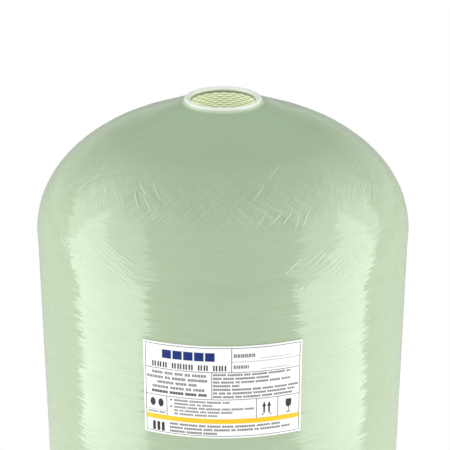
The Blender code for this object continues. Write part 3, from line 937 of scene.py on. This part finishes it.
def makePrint(darkInk, blueInk, yellowInk):
    rule = makeBar("ink_rule", 60)
    stroke = makeBar("ink_stroke", 1)
    block = makeBar("ink_block", 8)
    disc = makeShape("ink_disc", 32)
    point = makeShape("ink_point", 3)
    dark, blue, yellow = [], [], []
    draw = random.Random(label["seed"])
    left, right, top, bottom = label["border"]
    wide, high, hairline = right - left, bottom - top, label["hairline"]

    def across(part):
        return left + part * wide

    def down(part):
        return top + part * high

    def level(u0, u1, v, line=label["line"]):
        y, half = down(v), line / 2
        dark.append(placeInk(rule, across(u0), y - half, across(u1), y + half))

    def upright(u, v0, v1):
        x, half = across(u), label["line"] / 2
        dark.append(placeInk(stroke, x - half, down(v0), x + half, down(v1)))

    def words(u0, u1, v, size, weight=0.3, longest=9):
        # lines of print are shown as groups of plain upright strokes, with no letter in them
        x, end = across(u0), across(u1)
        while x < end - size:
            for _ in range(draw.randint(2, longest)):
                for _ in range(2):
                    if x < end:
                        dark.append(placeInk(stroke, x, down(v) - size / 2,
                                             x + weight * size, down(v) + size / 2))
                    x += 0.42 * size
                x += 0.1 * size
            x += 0.6 * size

    # frame and cells
    level(0, 1, 0)
    level(0, 1, 1)
    upright(0, 0, 1)
    upright(1, 0, 1)
    for v in (0.27, 0.578):
        level(0, 1, v)
    level(0.556, 1, 0.152, hairline)
    upright(0.556, 0, 0.27)
    upright(0.431, 0.27, 0.578)
    for u in (0.14, 0.715, 0.855):
        upright(u, 0.578, 0.8)
    level(0, 0.14, 0.746, hairline)

    # header: plain blue blocks, a heading, and two fields with nothing filled in
    for i in range(5):
        blue.append(placeInk(block, 16.5 + i * 9.0, 6.2, 16.5 + i * 9.0 + 7.8, 14.0))
    words(0.045, 0.515, 0.222, 5.0, 0.25, 7)
    words(0.57, 0.7, 0.085, 3.2, 0.27, 9)
    words(0.57, 0.66, 0.21, 3.0, 0.27, 9)
    level(0.74, 0.93, 0.12, hairline)
    level(0.74, 0.93, 0.24, hairline)

    # second row
    for i, (u0, u1) in enumerate(
            [(0.045, 0.39), (0.01, 0.42), (0.08, 0.355), (0.045, 0.385), (0.04, 0.4)]):
        words(u0, u1, 0.315 + i * 0.054, 2.5, 0.38 if i == 4 else 0.28)
    for i, u1 in enumerate([0.936, 0.793, 0.936, 0.603, 0.985, 0.961, 0.947]):
        words(0.44, u1, 0.297 + i * 0.0415, 1.9, 0.3)

    # third row: two plain marks, print with two bullets, this-way-up arrows and a goblet
    for u in (0.028, 0.082):
        dark.append(placeInk(disc, across(u), down(0.615), across(u) + 4.6, down(0.615) + 7.6))
    words(0.012, 0.125, 0.772, 1.6, 0.28)
    for i, u1 in enumerate([0.541, 0.435, 0.70, 0.558, 0.462]):
        words(0.189, u1, 0.611 + i * 0.0385, 1.8, 0.28)
        if i in (0, 2):
            y = down(0.611 + i * 0.0385)
            dark.append(placeInk(disc, across(0.162), y - 0.8, across(0.162) + 1.6, y + 0.8))
    for x in (101.3, 105.5):
        dark.append(placeInk(stroke, x - 0.7, 57.0, x + 0.7, 63.5))
        dark.append(placeInk(point, x - 1.9, 52.6, x + 1.9, 58.8))
    dark.append(placeInk(stroke, 99.2, 64.2, 107.6, 65.2))
    dark.append(placeInk(stroke, 119.8, 53.0, 124.8, 57.2))
    dark.append(placeInk(disc, 119.8, 53.6, 124.8, 60.6))
    dark.append(placeInk(stroke, 122.0, 60.0, 122.6, 65.0))
    dark.append(placeInk(stroke, 120.2, 64.8, 124.4, 65.6))

    # a plain yellow band, and the last row
    yellow.append(placeInk(rule, left, down(0.8), right, down(0.855)))
    for i in range(3):
        x, y = 7.4 + i * 3.9, down(0.885)
        dark.append(placeInk(stroke, x, y, x + 2.5, y + 8.4))
    for i, u1 in enumerate([0.868, 0.951, 0.476]):
        words(0.157, u1, 0.887 + i * 0.042, 2.0, 0.3)

    for tone, bars, ink in (("dark", dark, darkInk), ("blue", blue, blueInk),
                            ("yellow", yellow, yellowInk)):
        piece = joinPieces("label_print_" + tone, bars)
        rollOnVessel(piece, label["radius"] + label["wall"])
        dressPiece(piece, ink, 30)
    for shape in (rule, stroke, block, disc, point):
        bpy.data.objects.remove(shape)


def vinylMaterial():
    # Polymeric vinyl film with a gloss laminate: white, smooth, with a very low orange peel from
    # the adhesive and the rovings under it.
    material, tree, shader, place = startMaterial("whiteVinyl", "#f0f1f0", 0.3, 1.48)
    # orange peel about 4.5 mm across
    tone, peel = mottledColour(tree, place, 220.0, 2.0, "#f3f4f3", "#f8f8f8")
    setInputs(tree, shader, {"Base Color": tone})
    bump = addNode(tree, "ShaderNodeBump", {"Height": peel, "Strength": 1.0, "Distance": 0.00004})
    setInputs(tree, shader, {"Normal": bump})
    return material


def inkMaterial(name, hexColour, spread):
    # Printing ink under the laminate: dense, with a slightly uneven lay-down
    material, tree, shader, place = startMaterial(name, hexColour, 0.32, 1.48)
    colour, _ = mottledColour(tree, place, 500.0, 2.0, hexColour, spread)  # 2 mm patches
    setInputs(tree, shader, {"Base Color": colour})
    return material


makeSheet(vinylMaterial())
makePrint(inkMaterial("darkInk", "#26282a", "#303234"),
          inkMaterial("blueInk", "#06216f", "#0a2a7c"),
          inkMaterial("yellowInk", "#f7c31f", "#fbcb2a"))
print("label made")


# Camera, at the photo's viewing angle

view = {"place": (0.00186, -1.1678, 1.4952), "down": 22.63, "lens": 111.28}

cameraData = bpy.data.cameras.new("photoCamera")
cameraData.lens = view["lens"]
cameraData.sensor_width = 36
camera = bpy.data.objects.new("photoCamera", cameraData)
camera.location = view["place"]
camera.rotation_euler = (math.radians(90 - view["down"]), 0, 0)
bpy.context.scene.collection.objects.link(camera)
bpy.context.scene.camera = camera
bpy.context.scene.view_settings.view_transform = "Standard"


# Light: a softbox on each side that leans in, with a hotter lower part, and a dim room. Each is
# an outline in metres on a leaning plane: out from the lamp's middle, and up.

studio = {
    "room": 0.29,
    "ceiling": 0.27,
    "front": 0.47,  # the room is this much brighter behind the camera
    "horizon": 0.7,
    "mirrorTint": (0.92, 1, 0.89, 1),  # of the room as glossy surfaces mirror it, white is plain
    "direction": 72,
    "distance": 1.0,
    "height": 1.0,
    "lean": 20,
    "wide": [(0.67, -1.04), (0.67, 0.0), (0.44, 0.47), (0.15, 0.79), (-0.18, 0.93), (-0.67, 1.04),
             (-0.95, 0.95), (-0.73, 0.46), (-0.46, 0.03), (-0.36, -0.4), (-0.46, -0.75),
             (-0.62, -1.04)],
    "wideStrength": 1.72,
    "hot": [(0.65, -1.04), (0.65, -0.44), (-0.22, 0.7), (-0.33, 0.3), (-0.44, -0.35),
            (-0.48, -0.75), (-0.62, -1.04)],
    "hotStrength": 2.85,
    "fadeFrom": 0.4,
    "fadeTo": 1.6,
    "floorTone": "#dfdfdd",
    "whiteFrom": 0.7,
    "whiteTo": 1.2,
}


def makePanel(name, side, corners, strength, forward):
    panel = startPrimitive(name, bpy.ops.mesh.primitive_circle_add, vertices=len(corners),
                           radius=1, fill_type="NGON")
    turn, lean = math.radians(studio["direction"]) * side, math.radians(studio["lean"])
    out = Vector((math.sin(turn), -math.cos(turn), 0))
    across = Vector((math.cos(turn), math.sin(turn), 0)) * -side
    up = Vector((0, 0, 1)) * math.cos(lean) - out * math.sin(lean)
    middle = out * (studio["distance"] - forward) + Vector((0, 0, studio["height"]))
    setPoints(panel, np.array([middle + across * u + up * v for u, v in corners]))
    material = bpy.data.materials.new(name)
    material.use_nodes = True
    tree = material.node_tree
    tree.nodes.remove(tree.nodes["Principled BSDF"])
    place = addNode(tree, "ShaderNodeTexCoord").outputs["Object"]
    height = addNode(tree, "ShaderNodeSeparateXYZ", {0: place}).outputs["Z"]
    fade = addNode(tree, "ShaderNodeMapRange", {
        "Value": height, "From Min": studio["height"] + studio["fadeFrom"],
        "From Max": studio["height"] + studio["fadeTo"], "To Min": strength,
        "To Max": strength * 0.2}, interpolation_type="SMOOTHSTEP")
    glow = addNode(tree, "ShaderNodeEmission", {"Strength": fade})
    setInputs(tree, tree.nodes["Material Output"], {"Surface": glow})
    panel.data.materials.append(material)
    panel.visible_camera = False
    panel.visible_shadow = False


for side, word in ((-1, "Left"), (1, "Right")):
    makePanel("softbox" + word, side, studio["wide"], studio["wideStrength"], 0.0)
    makePanel("hotBox" + word, side, studio["hot"], studio["hotStrength"], 0.002)


def makeRoom():
    world = bpy.data.worlds.new("studioRoom")
    world.use_nodes = True
    tree = world.node_tree
    shader = tree.nodes["Background"]
    rays = addNode(tree, "ShaderNodeLightPath")
    place = addNode(tree, "ShaderNodeTexCoord").outputs["Generated"]
    up = addNode(tree, "ShaderNodeSeparateXYZ", {0: place}).outputs["Z"]
    towards = addNode(tree, "ShaderNodeVectorMath", {0: place, 1: (0, -0.92, 0.39)},
                      operation="DOT_PRODUCT").outputs["Value"]
    front = addNode(tree, "ShaderNodeMapRange", {
        "Value": towards, "From Min": 0.2, "From Max": 0.95, "To Min": studio["room"],
        "To Max": studio["room"] + studio["front"]}, interpolation_type="SMOOTHSTEP")
    over = addNode(tree, "ShaderNodeMapRange", {
        "Value": up, "From Min": 0.1, "From Max": 0.9, "To Min": 0.0,
        "To Max": studio["ceiling"]}, interpolation_type="SMOOTHSTEP")
    front = addNode(tree, "ShaderNodeMath", {0: front, 1: over}, operation="ADD")
    dim = addNode(tree, "ShaderNodeMapRange", {
        "Value": up, "From Min": 0.0, "From Max": 0.7, "To Min": studio["horizon"],
        "To Max": 0.0}, interpolation_type="SMOOTHSTEP")
    horizon = addNode(tree, "ShaderNodeMath", {0: front, 1: dim}, operation="MAXIMUM")
    glossy = addNode(tree, "ShaderNodeMix", {
        "Factor": rays.outputs["Is Glossy Ray"], "A": front, "B": horizon}, data_type="FLOAT")
    seen = addNode(tree, "ShaderNodeMath", {
        0: rays.outputs["Is Camera Ray"], 1: rays.outputs["Is Transmission Ray"]},
        operation="MAXIMUM")
    level = addNode(tree, "ShaderNodeMix", {
        "Factor": seen, "A": glossy, "B": 1.0}, data_type="FLOAT")
    tone = addNode(tree, "ShaderNodeMix", {
        "Factor": rays.outputs["Is Glossy Ray"], "A": (1, 1, 1, 1), "B": studio["mirrorTint"]},
        data_type="RGBA")
    setInputs(tree, shader, {"Color": tone, "Strength": level})
    bpy.context.scene.world = world


def makeFloor():
    # pale and plain round the tank, where it keeps the shadow, and pure white further out
    floor = startPrimitive("studio_floor", bpy.ops.mesh.primitive_plane_add, size=60)
    material, tree, shader, place = startMaterial("floorPaper", studio["floorTone"], 0.9, 1.4)
    shader.inputs["Specular IOR Level"].default_value = 0.1
    away = addNode(tree, "ShaderNodeVectorMath", {0: place}, operation="LENGTH").outputs["Value"]
    far = addNode(tree, "ShaderNodeMapRange", {
        "Value": away, "From Min": studio["whiteFrom"], "From Max": studio["whiteTo"]},
        interpolation_type="SMOOTHSTEP")
    rays = addNode(tree, "ShaderNodeLightPath")
    seen = addNode(tree, "ShaderNodeMath", {
        0: rays.outputs["Is Camera Ray"], 1: rays.outputs["Is Transmission Ray"]},
        operation="MAXIMUM")
    share = addNode(tree, "ShaderNodeMath", {0: seen, 1: far}, operation="MULTIPLY")
    white = addNode(tree, "ShaderNodeEmission", {"Strength": 1.0})
    both = addNode(tree, "ShaderNodeMixShader", {
        0: share, 1: shader, 2: white})
    below = addNode(tree, "ShaderNodeNewGeometry").outputs["Backfacing"]
    clear = addNode(tree, "ShaderNodeBsdfTransparent")  # the foot can be seen from below
    sided = addNode(tree, "ShaderNodeMixShader", {0: below, 1: both,
                                                  2: clear})
    setInputs(tree, tree.nodes["Material Output"], {"Surface": sided})
    floor.data.materials.append(material)


makeRoom()
makeFloor()
print("studio made")
